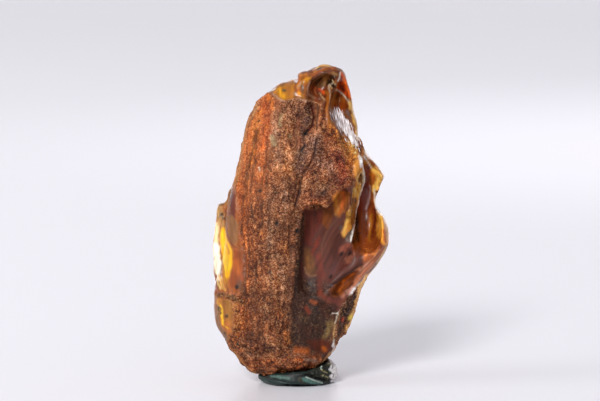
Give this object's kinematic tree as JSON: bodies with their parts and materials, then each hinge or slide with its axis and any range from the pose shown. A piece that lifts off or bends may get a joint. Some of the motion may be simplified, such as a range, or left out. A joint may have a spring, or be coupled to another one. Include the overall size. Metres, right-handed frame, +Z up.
{
  "type": "raw amber piece",
  "caption": "Upright piece of raw amber with a rough brown crust, glossy broken hollows and clear honey-coloured edges, held on a pinch of green modelling putty.",
  "frame": {"origin": "on the surface the putty stands on, under the middle of the whole object's box", "axes": "+Z up along the piece's long axis, X across its broad face, -Y towards the crusted front"},
  "size_m": [0.0408, 0.0264, 0.0736],
  "materials": {
    "amber": "rough granular brown crust, with glossy see-through honey to red-brown amber where it is broken",
    "putty": "soft green modelling putty with a slight sheen"
  },
  "bodies": {
    "root": {"amber": "amber", "putty": "putty"}
  },
  "joints": []
}
